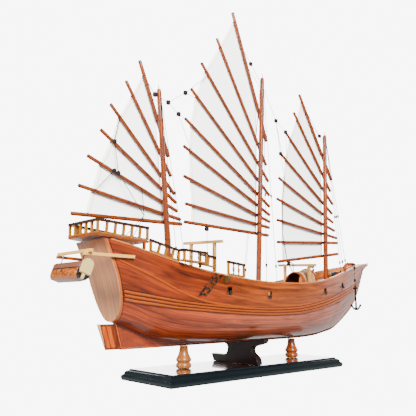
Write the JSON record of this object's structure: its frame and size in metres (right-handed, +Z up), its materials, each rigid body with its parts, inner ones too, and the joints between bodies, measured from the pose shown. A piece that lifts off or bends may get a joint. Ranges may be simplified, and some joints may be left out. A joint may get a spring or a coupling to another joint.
{
  "type": "wooden display model of a three-masted junk",
  "caption": "Varnished wooden display model of a three-masted junk with battened sails, a turning rudder and a moulded base with turned columns.",
  "frame": {"origin": "centre of the base's underside", "axes": "+X towards the bow, +Y to port, +Z up"},
  "size_m": [0.7276, 0.1516, 0.643],
  "materials": {
    "lacquer": "gloss black lacquer with a red-brown polished top",
    "turned_maple": "varnished turned wood",
    "dark_walnut": "dark stained, satin",
    "hull_wood": "varnished planked rosewood, gloss",
    "transom_veneer": "varnished veneer, upright grain",
    "cap_wood": "varnished, gloss",
    "birch": "pale timber, satin",
    "rail_wood": "dark rails with golden balusters",
    "tender_wood": "varnished strip planking",
    "spar_wood": "varnished dowel",
    "sail_cloth": "fine off-white cotton",
    "woven_mat": "woven cane mat",
    "anchor_iron": "blackened metal"
  },
  "bodies": {
    "model": {"base_plate": "lacquer", "column_aft": "turned_maple", "column_fore": "turned_maple", "cradle": "dark_walnut", "hull": "hull_wood", "keel_stem": "hull_wood", "transom_board": "transom_veneer", "rail_cap": "cap_wood", "wale_port": "hull_wood", "wale_starboard": "hull_wood", "poop_deck": "cap_wood", "poop_rail": "rail_wood", "quarter_rail_port": "rail_wood", "quarter_rail_starboard": "rail_wood", "waist_fence": "rail_wood", "davit_port": "cap_wood", "davit_starboard": "birch", "tender": "tender_wood", "mizzen_mast": "spar_wood", "main_mast": "spar_wood", "fore_mast": "spar_wood", "aft_gallows": "birch", "fore_gallows": "birch", "side_bracket": "birch", "mat_shelter": "woven_mat", "windlass": "rail_wood", "cathead_port": "cap_wood", "cathead_starboard": "cap_wood", "anchor_port": "anchor_iron", "anchor_starboard": "anchor_iron", "boarding_ladder": "dark_walnut"},
    "rudder_blade": {"rudder": "hull_wood"},
    "mizzen_rig": {"mizzen_sail": "sail_cloth", "mizzen_yard": "spar_wood", "mizzen_batten_1": "spar_wood", "mizzen_batten_2": "spar_wood", "mizzen_batten_3": "spar_wood", "mizzen_batten_4": "spar_wood", "mizzen_batten_5": "spar_wood", "mizzen_boom": "spar_wood"},
    "main_rig": {"main_sail": "sail_cloth", "main_yard": "spar_wood", "main_batten_1": "spar_wood", "main_batten_2": "spar_wood", "main_batten_3": "spar_wood", "main_batten_4": "spar_wood", "main_batten_5": "spar_wood", "main_batten_6": "spar_wood", "main_batten_7": "spar_wood", "main_boom": "spar_wood"},
    "fore_rig": {"fore_sail": "sail_cloth", "fore_yard": "spar_wood", "fore_batten_1": "spar_wood", "fore_batten_2": "spar_wood", "fore_batten_3": "spar_wood", "fore_batten_4": "spar_wood", "fore_batten_5": "spar_wood", "fore_batten_6": "spar_wood", "fore_batten_7": "spar_wood", "fore_boom": "spar_wood"}
  },
  "joints": [
    {"name": "rudder_turn", "type": "hinge", "parent": "model", "child": "rudder_blade", "pos_m": [-0.2413, 0, 0.0508], "axis": [-0.2919, 0, 0.9564], "range_deg": [-30, 30]},
    {"name": "mizzen_swing", "type": "hinge", "parent": "model", "child": "mizzen_rig", "pos_m": [-0.1538, 0, 0.15165], "axis": [-0.0869, 0, 0.9962], "range_deg": [-35, 35]},
    {"name": "main_swing", "type": "hinge", "parent": "model", "child": "main_rig", "pos_m": [0.0412, 0, 0.11819], "axis": [0.0498, 0, 0.9988], "range_deg": [-35, 35]},
    {"name": "fore_swing", "type": "hinge", "parent": "model", "child": "fore_rig", "pos_m": [0.2389, 0, 0.16131], "axis": [0.0464, 0, 0.9989], "range_deg": [-35, 35]}
  ]
}
